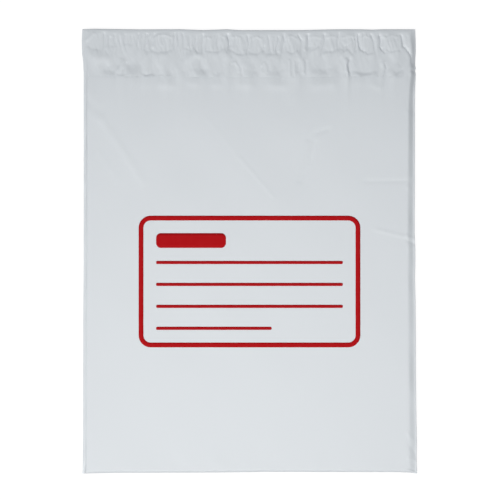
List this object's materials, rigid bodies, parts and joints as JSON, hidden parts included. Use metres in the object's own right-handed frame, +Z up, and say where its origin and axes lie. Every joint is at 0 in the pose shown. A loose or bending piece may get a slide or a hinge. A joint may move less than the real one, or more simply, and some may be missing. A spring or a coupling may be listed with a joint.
{
  "type": "poly mailer bag",
  "caption": "Closed white plastic film mailer bag lying flat, with a puckered lip glued down across the top, welded sides and a plain red printed address block.",
  "frame": {"origin": "under the middle of the bag, on the surface that it lies on", "axes": "+X across the bag to the right, +Y along the bag towards the mouth, +Z up, out of the front with the address block"},
  "size_m": [0.2496, 0.3302, 0.0087],
  "materials": {
    "film": "white polyethylene film, satin",
    "ink": "red ink printed on the film, satin"
  },
  "bodies": {
    "root": {"mailer_bag": "film", "print_frame": "ink", "print_header_bar": "ink", "print_rule_1": "ink", "print_rule_2": "ink", "print_rule_3": "ink", "print_rule_4": "ink"}
  },
  "joints": []
}
